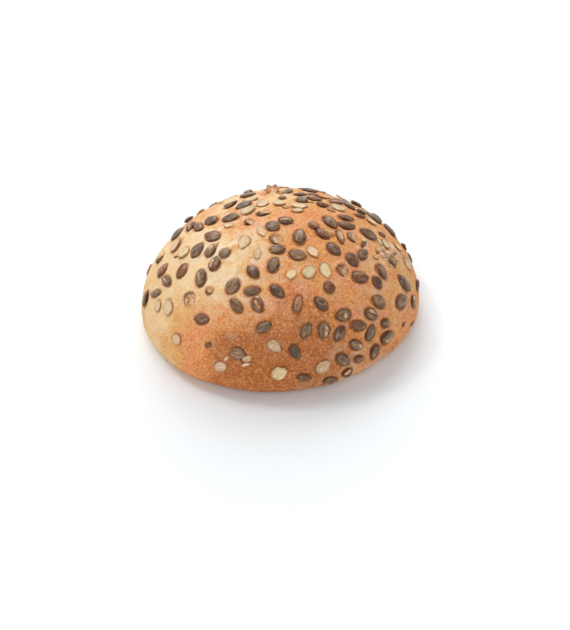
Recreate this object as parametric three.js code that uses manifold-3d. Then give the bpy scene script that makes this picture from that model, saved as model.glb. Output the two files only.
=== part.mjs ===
// Round country loaf with pumpkin seeds baked onto its crust.
// One baked loaf and the seeds that sit in its crust, each a solid of its own.
// Millimetres, +Z up. The loaf stands on its flat baked base and its best side faces -Y.
import * as THREE from "three";
import { mergeVertices } from "three/addons/utils/BufferGeometryUtils.js";
import Module from "manifold-3d";

// ---- Driving dimensions of the loaf (mm) ----
const LOAF_RADIUS = 95.4;
const LOAF_HEIGHT = 83.3;
const EDGE_HEIGHT = 11; // height at which the side is widest, above the rounded lower edge
const BASE_SHARE = 0.78; // radius of the flat base over the loaf's radius
const CROWN_POWER = 1.81; // 2 would be a true ellipse; less gives a flatter shoulder
const CROWN_SHIFT = new THREE.Vector2(0.4, -8.3); // the crown has slumped towards -Y
const OVAL = { size: 0.032, bearing: 0.888 }; // the loaf is slightly oval in plan
const LOBES = { size: 0.007, bearing: -0.332 }; // and very slightly three-cornered

// ---- Driving dimensions of the seeds (mm) ----
const SEED_THICKNESS = 0.42; // share of the seed's width
const KERNEL_THICKNESS = 1.8; // a split kernel is a thin slice
const SEED_LIFT = 0.5; // height of a whole seed's middle over the crust
const KERNEL_LIFT = 0.35;
const LONGEST_SEED = 15;
const WIDEST_SEED = 9.5;
const NARROWEST_SEED = 5.5;
const SOCKET_GAP = 0.3; // clear space between a seed and the crust

// ---- Facing plane ----
// The seeds on the best side are laid out on a plane through the middle of the base that faces
// an eye in front of the loaf and above it. Right and up are millimetres on that plane.
const EYE_DISTANCE = 1242;
const EYE_RISE = THREE.MathUtils.degToRad(38);
const PLANE_RIGHT = new THREE.Vector3(1, 0, 0);
const PLANE_UP = new THREE.Vector3(0, Math.sin(EYE_RISE), Math.cos(EYE_RISE));
const EYE = new THREE.Vector3(0, -Math.cos(EYE_RISE), Math.sin(EYE_RISE)).multiplyScalar(EYE_DISTANCE);

// Each seed: right, up, turn in degrees from right towards up, length and width as seen.
const WHOLE_SEEDS = [
  [-70.5, 51.5, 52, 14, 6], [-56, 56.5, -40, 10, 7], [-47.5, 61, -15, 13, 7.5], [-46.5, 50, -8, 12, 8],
  [-57, 40.5, 57, 13, 7.5], [-81, 27, 60, 12, 6], [-67.5, 26.5, 58, 13, 6], [-34, 62.5, 8, 13, 5],
  [-25, 71.5, 22, 13, 5.5], [-5, 56.5, -20, 10.5, 8], [-18.5, 25.5, -50, 11, 7.5], [-4.5, 30.5, 70, 12, 8],
  [-32.5, 15.5, 48, 14, 8.5], [-19, 12.5, 12, 13, 7], [-2, 12.3, -40, 12.5, 7], [13.3, 50, 80, 13.5, 9],
  [34.5, 60, -50, 12, 8], [46, 57.5, -3, 12, 5], [60.8, 51.5, -28, 14, 7], [49.8, 34, -55, 12, 7.5],
  [37, 41.3, -38, 12, 7.5], [12, 37.3, -12, 13.5, 7], [-2, 41, 3, 12.5, 6.5], [70, 26, -57, 13, 8],
  [85.2, 18, -58, 14, 7.5], [34, 15, 0, 8.5, 8], [-30.3, 2.5, -50, 12.5, 7], [28.3, 3.8, -40, 12.5, 7],
  [-54, -6.8, -3, 10.5, 7], [-11, -12.3, 28, 12, 7], [10.3, -29, -65, 11.5, 7], [17.8, -15, 60, 13, 6.5],
  [41, -16.5, 60, 12.5, 6.5], [67.8, 5.3, -20, 10.5, 9], [65, -29.2, 75, 12, 5.5], [43, -34.5, -40, 11.5, 8],
];
const BURST_SEEDS = [
  [-45, 31, 70, 11, 8], [-54.5, 21.5, 88, 13.5, 8], [43.8, -4, 15, 12, 8],
  [30.2, -14.8, 80, 12.5, 8], [-29, -30.3, -15, 12.5, 8],
];
const SPLIT_KERNELS = [
  [-12, 72.5, 10, 9.5, 7.5], [-24.5, 46, 65, 10, 8], [20, 25.5, 45, 10, 8.5],
  [-3.7, -25.3, -35, 12, 7.5], [-0.5, -43.5, 25, 13, 9], [29.3, -39.2, 45, 12, 7.5],
];
// Rows of seeds round the far side: height share up the loaf, first bearing, step and count.
const FAR_ROWS = [
  { rise: 0.24, from: 22, step: 27, count: 6 },
  { rise: 0.52, from: 38, step: 29, count: 4 },
  { rise: 0.8, from: 70, step: 44, count: 2 },
];
const FAR_SEED = { length: 12.5, width: 7.5, turn: 65 };

const wasm = await Module();
wasm.setup();

// ---- The loaf's outer form ----
const EDGE_STEPS = 4;
const CROWN_STEPS = 17;
const PLAN_STEPS = 60;

function crownRadiusShare(height) {
  const share = (height - EDGE_HEIGHT) / (LOAF_HEIGHT - EDGE_HEIGHT);
  return Math.max(0, 1 - share ** CROWN_POWER) ** (1 / CROWN_POWER);
}

function edgeRadiusShare(height) {
  const drop = 1 - height / EDGE_HEIGHT;
  return BASE_SHARE + (1 - BASE_SHARE) * Math.sqrt(1 - drop * drop);
}

function planFactor(bearing) {
  const oval = OVAL.size * Math.cos(2 * (bearing - OVAL.bearing));
  return 1 + oval + LOBES.size * Math.cos(3 * (bearing - LOBES.bearing));
}

// How far a point is outside the loaf's surface, measured level.
function outside(point) {
  const height = THREE.MathUtils.clamp(point.z, 0, LOAF_HEIGHT);
  const x = point.x - CROWN_SHIFT.x * height / LOAF_HEIGHT;
  const y = point.y - CROWN_SHIFT.y * height / LOAF_HEIGHT;
  const share = height < EDGE_HEIGHT ? edgeRadiusShare(height) : crownRadiusShare(height);
  return Math.hypot(x, y) - LOAF_RADIUS * share * planFactor(Math.atan2(y, x));
}

function loafProfile() {
  const profile = [new THREE.Vector2(0, 0), new THREE.Vector2(BASE_SHARE / 2, 0)];
  for (let i = 0; i <= EDGE_STEPS; i += 1) {
    const turn = (Math.PI / 2) * (i / EDGE_STEPS);
    const share = BASE_SHARE + (1 - BASE_SHARE) * Math.sin(turn);
    profile.push(new THREE.Vector2(share, EDGE_HEIGHT * (1 - Math.cos(turn))));
  }
  for (let i = 1; i < CROWN_STEPS; i += 1) {
    const turn = (Math.PI / 2) * (i / CROWN_STEPS);
    const share = Math.cos(turn) ** (2 / CROWN_POWER);
    const rise = Math.sin(turn) ** (2 / CROWN_POWER);
    profile.push(new THREE.Vector2(share, EDGE_HEIGHT + (LOAF_HEIGHT - EDGE_HEIGHT) * rise));
  }
  profile.push(new THREE.Vector2(0, LOAF_HEIGHT));
  return profile;
}

function loafForm() {
  const form = new THREE.LatheGeometry(loafProfile(), PLAN_STEPS);
  form.rotateX(Math.PI / 2);
  const places = form.getAttribute("position");
  for (let i = 0; i < places.count; i += 1) {
    const height = places.getZ(i);
    const bearing = Math.atan2(places.getY(i), places.getX(i));
    const radius = LOAF_RADIUS * Math.hypot(places.getX(i), places.getY(i)) * planFactor(bearing);
    const lean = height / LOAF_HEIGHT;
    places.setX(i, radius * Math.cos(bearing) + CROWN_SHIFT.x * lean);
    places.setY(i, radius * Math.sin(bearing) + CROWN_SHIFT.y * lean);
  }
  return form;
}

// ---- Places on the crust ----
// The first point of the crust on the line from outer to inner, found by halving.
function crustBetween(outer, inner) {
  const steps = 400;
  const near = outer.clone();
  const far = new THREE.Vector3();
  for (let i = 1; i <= steps; i += 1) {
    far.lerpVectors(outer, inner, i / steps);
    if (outside(far) < 0) {
      break;
    }
    near.copy(far);
  }
  const middle = new THREE.Vector3();
  for (let i = 0; i < 30; i += 1) {
    middle.lerpVectors(near, far, 0.5);
    (outside(middle) < 0 ? far : near).copy(middle);
  }
  return middle.clone();
}

function outwardNormal(point) {
  const step = 0.05;
  const normal = new THREE.Vector3();
  for (const axis of ["x", "y", "z"]) {
    const ahead = point.clone();
    const behind = point.clone();
    ahead[axis] += step;
    behind[axis] -= step;
    normal[axis] = outside(ahead) - outside(behind);
  }
  return normal.normalize();
}

// Where the line of sight through a spot on the facing plane meets the crust.
function crustSeenAt(right, up) {
  const spot = PLANE_RIGHT.clone().multiplyScalar(right).addScaledVector(PLANE_UP, up);
  const sight = spot.sub(EYE).normalize();
  const reach = 130;
  const outer = EYE.clone().addScaledVector(sight, EYE_DISTANCE - reach);
  const inner = EYE.clone().addScaledVector(sight, EYE_DISTANCE + reach);
  return crustBetween(outer, inner);
}

// A seat on the crust: its point, outward normal, the seed's long direction and its true size.
function facingSeat([right, up, turn, length, width]) {
  const along = new THREE.Vector2(Math.cos(turn * Math.PI / 180), Math.sin(turn * Math.PI / 180));
  const point = crustSeenAt(right, up);
  const normal = outwardNormal(point);
  const ahead = crustSeenAt(right + along.x / 2, up + along.y / 2);
  const behind = crustSeenAt(right - along.x / 2, up - along.y / 2);
  const step = ahead.sub(behind);
  const stretch = step.length();
  const direction = step.projectOnPlane(normal).normalize();
  const across = new THREE.Vector3().crossVectors(normal, direction);
  const seenAcross = new THREE.Vector2(across.dot(PLANE_RIGHT), across.dot(PLANE_UP));
  const showing = Math.max(0.3, Math.abs(seenAcross.cross(along)));
  return {
    point,
    normal,
    direction,
    length: Math.min(length * stretch, LONGEST_SEED),
    width: THREE.MathUtils.clamp(width / showing, NARROWEST_SEED, WIDEST_SEED),
  };
}

// A seat on the far side, at a share of the loaf's height and a bearing in degrees.
function farSeat(rise, bearing, turn) {
  const height = rise * LOAF_HEIGHT;
  const heading = THREE.MathUtils.degToRad(bearing);
  const inner = new THREE.Vector3(CROWN_SHIFT.x * rise, CROWN_SHIFT.y * rise, height);
  const outer = new THREE.Vector3(Math.cos(heading), Math.sin(heading), 0);
  outer.multiplyScalar(1.3 * LOAF_RADIUS).add(inner);
  const point = crustBetween(outer, inner);
  const normal = outwardNormal(point);
  const level = new THREE.Vector3(0, 0, 1).cross(normal).normalize();
  const direction = level.applyAxisAngle(normal, THREE.MathUtils.degToRad(turn));
  return { point, normal, direction, length: FAR_SEED.length, width: FAR_SEED.width };
}

// ---- Seeds ----
// A flattened egg with one pointed tip, lying along +X with its face to +Z.
function seedForm(length, width, thickness) {
  const form = new THREE.SphereGeometry(1, 6, 6);
  form.rotateZ(-Math.PI / 2);
  const places = form.getAttribute("position");
  for (let i = 0; i < places.count; i += 1) {
    const x = places.getX(i);
    const shoulder = x > 0 ? 1 - 0.28 * x : 1 - 0.06 * x * x;
    places.setX(i, x * length / 2);
    places.setY(i, places.getY(i) * shoulder * width / 2);
    places.setZ(i, places.getZ(i) * shoulder * thickness / 2);
  }
  return form;
}

function seated(form, seat, lift) {
  const across = new THREE.Vector3().crossVectors(seat.normal, seat.direction);
  const turned = new THREE.Matrix4().makeBasis(seat.direction, across, seat.normal);
  const place = seat.point.clone().addScaledVector(seat.normal, lift);
  return form.clone().applyMatrix4(turned.setPosition(place));
}

// ---- Cutting the sockets ----
function asSolid(form) {
  const plain = form.clone();
  plain.deleteAttribute("normal");
  plain.deleteAttribute("uv");
  const merged = mergeVertices(plain, 1e-4);
  const corners = merged.getIndex().array;
  const kept = [];
  for (let i = 0; i < corners.length; i += 3) {
    const [a, b, c] = corners.slice(i, i + 3);
    if (a !== b && b !== c && c !== a) {
      kept.push(a, b, c);
    }
  }
  return new wasm.Manifold(new wasm.Mesh({
    numProp: 3,
    vertProperties: new Float32Array(merged.getAttribute("position").array),
    triVerts: new Uint32Array(kept),
  }));
}

function asForm(solid) {
  const mesh = solid.getMesh();
  const form = new THREE.BufferGeometry();
  form.setAttribute("position", new THREE.BufferAttribute(mesh.vertProperties, 3));
  form.setIndex(new THREE.BufferAttribute(mesh.triVerts, 1));
  form.computeVertexNormals();
  return form;
}

// ---- Materials ----
const crust = new THREE.MeshStandardMaterial({ color: 0xd19a63, roughness: 0.85, metalness: 0 });
const seedSkin = new THREE.MeshStandardMaterial({ color: 0x665c4e, roughness: 0.45, metalness: 0 });
const burstSkin = new THREE.MeshStandardMaterial({ color: 0x8a6a4c, roughness: 0.5, metalness: 0 });
const kernel = new THREE.MeshStandardMaterial({ color: 0xe6d0a2, roughness: 0.7, metalness: 0 });

// ---- The seeded loaf ----
function seedRow(name, seats, material, thicknessOf, lift) {
  return seats.map((seat, i) => ({
    name: `${name}_${String(i + 1).padStart(2, "0")}`,
    seat,
    material,
    lift,
    thickness: thicknessOf(seat),
  }));
}

const farSeats = FAR_ROWS.flatMap(({ rise, from, step, count }) => (
  Array.from({ length: count }, (_, i) => farSeat(rise, from + i * step, i * FAR_SEED.turn))
));
const plump = (seat) => seat.width * SEED_THICKNESS;
const thin = () => KERNEL_THICKNESS;
const seeds = [
  ...seedRow("whole_seed", WHOLE_SEEDS.map(facingSeat), seedSkin, plump, SEED_LIFT),
  ...seedRow("far_seed", farSeats, seedSkin, plump, SEED_LIFT),
  ...seedRow("burst_seed", BURST_SEEDS.map(facingSeat), burstSkin, plump, SEED_LIFT),
  ...seedRow("split_kernel", SPLIT_KERNELS.map(facingSeat), kernel, thin, KERNEL_LIFT),
];

const loaf = new THREE.Group();
let bread = asSolid(loafForm());
for (const { name, seat, material, lift, thickness } of seeds) {
  const form = seated(seedForm(seat.length, seat.width, thickness), seat, lift);
  const swell = 2 * SOCKET_GAP;
  const socket = seedForm(seat.length + swell, seat.width + swell, thickness + swell);
  bread = bread.subtract(asSolid(seated(socket, seat, lift)));
  const seed = new THREE.Mesh(form, material);
  seed.name = name;
  loaf.add(seed);
}
const crumb = new THREE.Mesh(asForm(bread), crust);
crumb.name = "loaf";
loaf.add(crumb);

// The origin is under the middle of the whole thing, on the surface that it stands on.
const extent = new THREE.Box3().setFromObject(loaf, true);
const middle = extent.getCenter(new THREE.Vector3());
loaf.position.set(-middle.x, -middle.y, 0);

export default loaf;
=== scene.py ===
import math
import random
from collections import namedtuple

import bmesh
import bpy
import numpy as np
from mathutils import Matrix, Vector, noise


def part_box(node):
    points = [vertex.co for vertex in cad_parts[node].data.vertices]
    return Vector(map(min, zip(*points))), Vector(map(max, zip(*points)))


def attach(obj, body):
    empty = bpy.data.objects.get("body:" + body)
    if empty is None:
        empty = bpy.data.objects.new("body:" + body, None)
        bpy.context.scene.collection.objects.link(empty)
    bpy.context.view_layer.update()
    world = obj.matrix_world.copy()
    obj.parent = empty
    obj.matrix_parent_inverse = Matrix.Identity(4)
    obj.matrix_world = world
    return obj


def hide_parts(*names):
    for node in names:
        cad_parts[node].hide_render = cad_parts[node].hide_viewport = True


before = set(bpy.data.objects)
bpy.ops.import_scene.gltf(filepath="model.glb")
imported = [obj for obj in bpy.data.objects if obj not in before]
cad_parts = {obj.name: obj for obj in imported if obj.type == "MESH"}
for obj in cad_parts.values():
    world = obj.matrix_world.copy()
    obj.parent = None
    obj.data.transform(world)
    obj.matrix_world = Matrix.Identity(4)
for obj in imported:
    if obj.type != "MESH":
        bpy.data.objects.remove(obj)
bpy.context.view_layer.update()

bl_info = {
    "name": "Pumpkin Seed Loaf",
    "version": (1, 0, 0),
    "blender": (4, 5, 0),
    "location": "3D View > Sidebar > Loaf",
    "description": "Bakes a round country loaf with pumpkin seeds on its crust",
    "category": "Add Mesh",
}

MM = 0.001

# ---------------------------------------------------------------------------
# The loaf's outer form, as the solid model has it. Shares are of its radius or its height.
# ---------------------------------------------------------------------------
EDGE_SHARE = 0.132
BASE_SHARE = 0.78
CROWN_POWER = 1.81
CROWN_SHIFT = (0.0042, -0.087)
OVAL, OVAL_BEARING = 0.032, 0.888
LOBES, LOBES_BEARING = 0.007, -0.332
# How many points the side's profile has each way, for the whole form and for places on the crust,
# and how many bearings the form is measured at.
FORM_POINTS, PROFILE_POINTS, FORM_BEARINGS = 200, 600, 721


def plan_factor(bearing):
    """How much wider than round the loaf is at a bearing."""
    oval = OVAL * np.cos(2 * (bearing - OVAL_BEARING))
    return 1 + oval + LOBES * np.cos(3 * (bearing - LOBES_BEARING))


def profile_shares(count):
    """Radius and height shares along the side, from the edge of the base up to the top."""
    turn = np.linspace(0, math.pi / 2, count)
    edge = np.stack([BASE_SHARE + (1 - BASE_SHARE) * np.sin(turn), EDGE_SHARE * (1 - np.cos(turn))])
    rise = EDGE_SHARE + (1 - EDGE_SHARE) * np.sin(turn) ** (2 / CROWN_POWER)
    crown = np.stack([np.cos(turn) ** (2 / CROWN_POWER), rise])
    return np.concatenate([edge, crown[:, 1:]], axis=1)


def measured_form():
    """The loaf's centre, radius and height, taken from the box of its solid."""
    low, high = (np.array(corner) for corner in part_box("loaf"))
    radius_share, height_share = profile_shares(FORM_POINTS)
    bearing = np.linspace(0, 2 * math.pi, FORM_BEARINGS)
    reach = np.outer(radius_share, plan_factor(bearing))
    x = reach * np.cos(bearing) + (CROWN_SHIFT[0] * height_share)[:, None]
    y = reach * np.sin(bearing) + (CROWN_SHIFT[1] * height_share)[:, None]
    radius = ((high[0] - low[0]) / np.ptp(x) + (high[1] - low[1]) / np.ptp(y)) / 2
    middle = np.array([(x.max() + x.min()) / 2, (y.max() + y.min()) / 2]) * radius
    centre = np.array([*((low + high)[:2] / 2 - middle), 0.0])
    return centre, radius, high[2]


CENTRE, RADIUS, HEIGHT = measured_form()


def radius_share_at(height_share):
    """The radius share at a height share, for many heights at once."""
    drop = np.clip(1 - height_share / EDGE_SHARE, 0, 1)
    edge = BASE_SHARE + (1 - BASE_SHARE) * np.sqrt(1 - drop**2)
    rise = np.clip((height_share - EDGE_SHARE) / (1 - EDGE_SHARE), 0, 1)
    crown = (1 - rise**CROWN_POWER) ** (1 / CROWN_POWER)
    return np.where(height_share < EDGE_SHARE, edge, crown)


def outside(points):
    """How far each point is outside the smooth crust, measured level."""
    share = np.clip(points[:, 2] / HEIGHT, 0, 1)
    x = points[:, 0] - CENTRE[0] - CROWN_SHIFT[0] * RADIUS * share
    y = points[:, 1] - CENTRE[1] - CROWN_SHIFT[1] * RADIUS * share
    crust = RADIUS * radius_share_at(share) * plan_factor(np.arctan2(y, x))
    return np.hypot(x, y) - crust


def outward(points):
    """Unit normals of the smooth crust at points on it."""
    step = 0.02 * MM
    slopes = []
    for axis in np.eye(3):
        slopes.append(outside(points + step * axis) - outside(points - step * axis))
    normals = np.stack(slopes, axis=1)
    return normals / np.maximum(np.linalg.norm(normals, axis=1, keepdims=True), 1e-12)


def crust_points(bearing, along):
    """Points of the smooth crust. along runs evenly from 0 at the base's edge to 1 at the top."""
    radius_share, height_share = profile_shares(PROFILE_POINTS)
    steps = np.hypot(np.diff(radius_share) * RADIUS, np.diff(height_share) * HEIGHT)
    length = np.concatenate([[0], np.cumsum(steps)])
    reach = RADIUS * np.interp(along * length[-1], length, radius_share) * plan_factor(bearing)
    share = np.interp(along * length[-1], length, height_share)
    x = CENTRE[0] + reach * np.cos(bearing) + CROWN_SHIFT[0] * RADIUS * share
    y = CENTRE[1] + reach * np.sin(bearing) + CROWN_SHIFT[1] * RADIUS * share
    return np.stack([x, y, share * HEIGHT], axis=1)


# Lumps of the baked dough: the size of each kind of lump and how far it stands out.
LUMPS = ((34 * MM, 0.75 * MM), (13 * MM, 0.3 * MM), (5 * MM, 0.12 * MM))
FINE_LUMPS = ((2.4 * MM, 0.16 * MM), (1.4 * MM, 0.1 * MM))


def lumps_at(point, kinds=LUMPS):
    """How far the crust stands out of its smooth form at one point."""
    return sum(depth * noise.noise(Vector(point) / size) for size, depth in kinds)


# ---------------------------------------------------------------------------
# Seats: where each seed sits on the crust
# ---------------------------------------------------------------------------
Seat = namedtuple("Seat", "kind point normal along length width thickness tone")
Make = namedtuple("Make", "thickness lift unevenness wrinkles")

# How each kind of seed is made: its thickness as a share of its width, how far its middle is lifted
# off the crust in mm, and how uneven its shape and its surface are, in shares of its half size.
MAKES = {
    "whole": Make(0.46, 0.9, 0.06, 0.13),
    "burst": Make(0.5, 0.9, 0.09, 0.17),
    "broken": Make(0.48, 0.7, 0.09, 0.15),
    "kernel": Make(0.18, 0.6, 0.1, 0.16),
    "chip": Make(0.4, 0.2, 0.3, 0.1),
    "crumb": Make(0.5, 0.35, 0.35, 0.2),
    "husk": Make(0.16, 0.0, 0.2, 0.2),
}
# The letters that stand for the colours of the seeds.
TONES = {
    "o": "olive",
    "g": "grey",
    "l": "light",
    "b": "brown",
    "r": "red",
    "d": "dark",
    "f": "floury",
    "t": "tan",
    "p": "kernel",
    "k": "toasted",
}

EYE_DISTANCE = 1.242
EYE_RISE = math.radians(38)
EYE_LENS = 102.86
FACING_RIGHT = np.array([1.0, 0.0, 0.0])
FACING_UP = np.array([0.0, math.sin(EYE_RISE), math.cos(EYE_RISE)])
FACING_BACK = np.array([0.0, -math.cos(EYE_RISE), math.sin(EYE_RISE)])

# Seeds of the best side that the solid model leaves out, on a plane through the middle of the base
# that faces the viewer: right and up in mm, turn in degrees, length and width as seen in mm, and
# then the letter of the tone.
# Each seed's tone was matched to how light or dark it looks where it lies, so the tones carry
# painted light and shade as well as the seeds' own colours: lighter tones on the upper left, darker
# ones low on the right.
WHOLE_SEEDS = (
    (-62.5, 61.5, 40, 8, 5, "d"), (-38, 38.5, 20, 9.5, 7.5, "l"), (-85.5, 11, 15, 8, 5, "l"),
    (-92.5, 7.5, 78, 13, 5, "g"), (-22, 78, 15, 12.5, 3.5, "d"), (5.2, 80.5, 20, 6.5, 3.5, "g"),
    (14.5, 79, 0, 11, 3, "d"), (22.5, 78.5, -10, 10, 2.5, "d"), (15, 75, -20, 8.5, 5, "g"),
    (43.5, 73, -40, 7, 4, "g"), (47.5, 70.5, -35, 9, 4.5, "d"), (55.5, 66.5, -20, 8, 3, "d"),
    (45.5, 62.5, -10, 12, 4, "d"), (29.5, 52, -35, 12, 6, "r"), (64.5, 63, -40, 13.5, 4.5, "g"),
    (75, 54.5, -48, 13, 5, "g"), (57, 38, 50, 8.5, 7, "g"), (67, 18.3, -60, 10, 6.5, "d"),
    (94, 17, 90, 8, 3, "d"), (54, -11.2, -3, 11.5, 7, "g"), (62, -16, 72, 13, 6.3, "g"),
    (83, 5.3, 45, 9.5, 9, "g"), (72.5, -9.5, 0, 6.5, 6.5, "o"), (54, -34, 5, 7, 5.5, "b"),
    (34.5, -48.5, 5, 11, 5, "b"), (12.2, 3.5, 75, 14, 6, "f"), (16.5, -46.5, -5, 11, 5, "o"),
    (1.5, 76.5, 0, 6, 2.5, "r"), (70, 51, -35, 6, 2.5, "b"), (54.5, 63.8, -20, 9, 3, "r"),
    (55, 22, -3, 12.5, 8, "b"),
)
# A burst seed's tone is followed by the letter of the opening in its skin.
BURST_SEEDS = (
    (-61.5, 57, 75, 11, 5.5, "bs"), (-78, 19.5, -45, 10, 6.5, "gs"), (-48, 40, 60, 10.5, 6.5, "lt"),
    (-15.5, 3, -60, 12, 8, "rs"), (62.5, -3.2, -25, 10, 8, "bl"),
    (73.5, -19.2, 30, 10.5, 7.5, "gr"), (52, -24.3, -15, 9.5, 7, "gt"), (4, 60.8, 0, 12, 6, "os"),
    (23.5, 57.5, -30, 8, 5.5, "rh"), (52, 72, -5, 9, 4, "ds"), (38, 73, -10, 9, 5, "rs"),
    (29.5, 71.5, -15, 10, 4, "rl"), (23.5, 76, -8, 12, 4, "rs"), (46, -43, 35, 9, 5, "rl"),
    (77, 33.5, -50, 9, 6, "bs"), (41.5, 50, -75, 11, 5, "fs"),
)
BROKEN_SEEDS = (
    (-82.5, 35.5, 55, 10, 6, "g"), (-62.3, 7, -60, 9, 8.5, "d"), (-48.5, 12.5, 30, 6, 4, "b"),
    (-34.5, 72.5, 50, 7, 5.5, "l"), (-21.5, 60, 0, 7, 5.5, "b"), (-11.5, 66, 12, 11, 4, "g"),
    (-3, 48, -10, 10, 7, "l"), (50, 49.5, -25, 9, 5.5, "l"), (43.3, 26.5, -38, 10.5, 7, "r"),
    (85, 43, -35, 7, 4, "d"), (91.5, 5.5, 75, 8, 5, "l"), (-23.5, -34.5, 35, 8, 5, "d"),
)
SPLIT_KERNELS = (
    (-71.5, 44.5, 65, 12, 5, "p"), (-66, 39.5, 70, 9, 7, "p"), (-20.5, 75.5, 8, 11, 3, "p"),
    (-22, 67.5, 30, 11, 5.5, "p"), (-0.5, 73, 0, 9.5, 5, "p"), (13, 71, 0, 12, 4, "p"),
    (12, 68, 0, 9.5, 3, "p"), (39.5, 69.5, -20, 12, 3.5, "p"), (62.5, 60, -25, 8, 3, "p"),
    (7.8, 24, 50, 9, 6, "p"), (31, 26.7, -68, 12, 7, "p"), (22.5, 39.5, -45, 10, 6.5, "p"),
    (-13, 53.5, -60, 8, 5, "p"), (-15.5, 38, 80, 8, 4, "p"), (-35.5, 57.5, -5, 7, 2.5, "p"),
    (-41.5, 73.5, 12, 8, 2, "p"), (81, 43, -55, 8, 3.5, "p"), (72.5, 45, -60, 8, 5, "p"),
    (76, 44, -60, 7, 3, "p"), (87.5, 31.5, -55, 9.5, 4, "p"), (-76.5, 1.5, 88, 12, 6, "p"),
    (-83.5, 2.5, 80, 9.5, 4, "p"), (-71, -20.5, -65, 8.5, 6, "p"), (-40.8, -39.3, 0, 9, 7, "k"),
    (30, 77, -12, 9, 2.5, "t"), (21, 77.5, 0, 7, 2, "p"),
)
CHIPS = (
    (-72, 36.5, 0, 2.5, 2, "r"), (-12.5, 78.5, -15, 4, 1.5, "d"), (89, 36, 0, 2.5, 2, "d"),
    (-49.5, -24.5, 25, 5, 3.5, "r"), (85, -10, 60, 4, 2, "b"), (91, -9.3, 50, 5, 1.5, "d"),
    (36.5, 51, 20, 3.5, 2.5, "r"), (76.8, -14.3, 60, 2.2, 1.2, "r"), (79, 38.5, 30, 3.5, 2.5, "b"),
    (73.5, 42, -20, 3, 2, "b"), (57.5, 45, 60, 5, 3.5, "r"), (79.5, 34, -30, 3, 2, "d"),
    (67, 39, 60, 2.5, 1.6, "d"), (78.5, 30, -60, 5, 2.5, "b"), (76, 36, 60, 4, 2.5, "r"),
)
# Crumbs of kernel and of dry husk.
CRUMBS = (
    (74.5, 39, 0, 5.62, 4.55, "p"), (70, 37.5, -50, 5.62, 3.9, "p"), (35, 53.5, 60, 3.12, 2.6, "p"),
    (-23.5, -37.8, 20, 6.25, 2.34, "p"), (68.5, 46.5, -60, 5.62, 3.25, "p"),
    (71, 40.5, -50, 4.38, 3.9, "t"),
    (75.5, 35.5, 20, 5, 3.9, "p"), (77.5, 32, -60, 5, 3.25, "t"), (72, 34.5, -40, 5, 2.6, "p"),
    (81.5, 37.5, -60, 4.38, 2.6, "p"), (34, 70, -15, 6.25, 2.6, "t"), (41, 71.5, -20, 5, 2.6, "p"),
    (28, 73, -10, 6.25, 2.6, "t"), (35, 68, -15, 7.5, 3.25, "t"), (57.5, 47.5, 0, 3.75, 3.25, "p"),
    (-55, 36.5, 30, 3.75, 1.82, "p"), (-43.5, 44, 60, 5, 1.56, "t"), (68.5, 41.5, 30, 5, 3.9, "p"),
    (77.5, 41, -50, 5.62, 3.25, "p"), (73, 37, 10, 5, 3.9, "t"), (79, 35.5, -30, 4.38, 3.25, "p"),
    (66, 35.5, -20, 3.75, 2.6, "t"), (75, 31, -60, 4.38, 2.6, "t"), (93, 4.5, 80, 4.38, 2.6, "p"),
    (91.5, 8, 30, 3.75, 2.08, "p"), (4, 70.5, -10, 6.25, 3.25, "t"), (20, 74, -10, 6.25, 2.34, "t"),
    (-37, -34, 40, 5, 2.08, "p"), (-16, 8, -30, 3.75, 2.6, "p"),
)
# Swellings of the crust in the same way, without a tone: seeds baked in under its skin, then
# blisters, then creases.
SWELLINGS = (
    (-29, 28, 60, 9, 5), (-33, 43, 20, 8, 5), (18.5, -32, 0, 6.5, 5), (-49, 16, 20, 6, 5),
    (-38, -17, 30, 3.5, 2), (-36.5, -21.5, 10, 3, 2.2), (-32.5, -19, 40, 4, 2), (-47, -27, 60, 3, 2),
    (24, 69.5, -38, 14, 1.2), (16, 24, 85, 14, 1.0), (-44, 20, 30, 12, 1.2), (-20, 44, 15, 10, 1.2),
)
# Husk that stands open on the top of the loaf: where it is, and each petal's turn in degrees,
# length and width in mm, lean from upright in degrees, and tone.
HUSK_SPOT = (-5, 79.5)
HUSK_PETALS = (
    (245, 8, 6.5, 36, "t"), (305, 9, 6, 44, "t"), (215, 9, 5.5, 56, "t"), (340, 7.5, 6.5, 58, "t"),
    (20, 6, 5, 66, "t"), (165, 7.5, 4.5, 68, "t"), (280, 6.5, 2.4, 30, "p"),
)
# Where the middle of a petal lies, as a share of its length up from the root.
PETAL_MIDDLE = 0.42

LONGEST, WIDEST, NARROWEST, THICKEST = 15 * MM, 9.5 * MM, 4.5 * MM, 3.2 * MM
# The width that a seed standing on edge is taken to have, and the widest share of its length.
USUAL_WIDTH, ROUNDEST = 5.5 * MM, 0.95
# How much of a slanting seed's width shows at least, and how far its length is drawn out at most.
LEAST_SHOWING, MOST_STRETCH = 0.35, 2.2
# A seed's own size against the size that it seems to have with the shadow round it.
TRUE_SIZE = 0.94
# How far to both sides of the loaf's middle a line of sight is searched, and in how many steps.
SIGHT_REACH, SIGHT_STEPS = 0.13, 2601


def thickness_of(kind, width):
    """How thick a seed of one kind is."""
    return min(width * MAKES[kind].thickness, THICKEST)


def crust_seen_at(right, up):
    """The crust's first point on the line of sight through a spot of the facing plane."""
    eye = CENTRE + FACING_BACK * EYE_DISTANCE
    spot = CENTRE + FACING_RIGHT * right + FACING_UP * up
    sight = (spot - eye) / np.linalg.norm(spot - eye)
    reach = EYE_DISTANCE + np.linspace(-SIGHT_REACH, SIGHT_REACH, SIGHT_STEPS)
    points = eye + reach[:, None] * sight
    away = outside(points)
    inside = np.nonzero(away < 0)[0]
    if len(inside) == 0:
        return points[np.argmin(away)]
    last = inside[0]
    share = away[last - 1] / (away[last - 1] - away[last])
    return points[last - 1] + (points[last] - points[last - 1]) * share


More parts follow.
